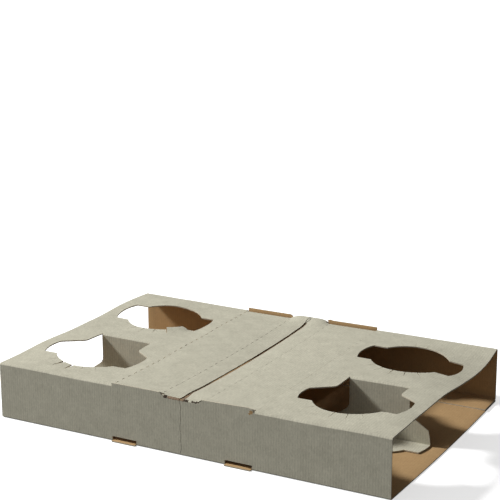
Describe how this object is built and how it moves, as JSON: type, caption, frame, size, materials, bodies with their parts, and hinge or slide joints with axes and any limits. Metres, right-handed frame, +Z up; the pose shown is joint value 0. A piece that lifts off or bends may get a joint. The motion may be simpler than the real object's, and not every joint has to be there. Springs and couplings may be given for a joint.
{
  "type": "cardboard cup carrier",
  "caption": "Flat corrugated sleeve, open at both ends, with eared round cup openings in its top and hinged strut flaps that brace it over the floor.",
  "frame": {"origin": "middle of the footprint, on the surface that the carrier rests on", "axes": "+X along the length from the left open end to the right one, +Y from front to back, +Z up"},
  "size_m": [0.25, 0.1664, 0.0354],
  "materials": {
    "board": "uncoated, grey outer liner over a kraft inner liner"
  },
  "bodies": {
    "root": {"folded_carrier": "board"}
  },
  "joints": []
}
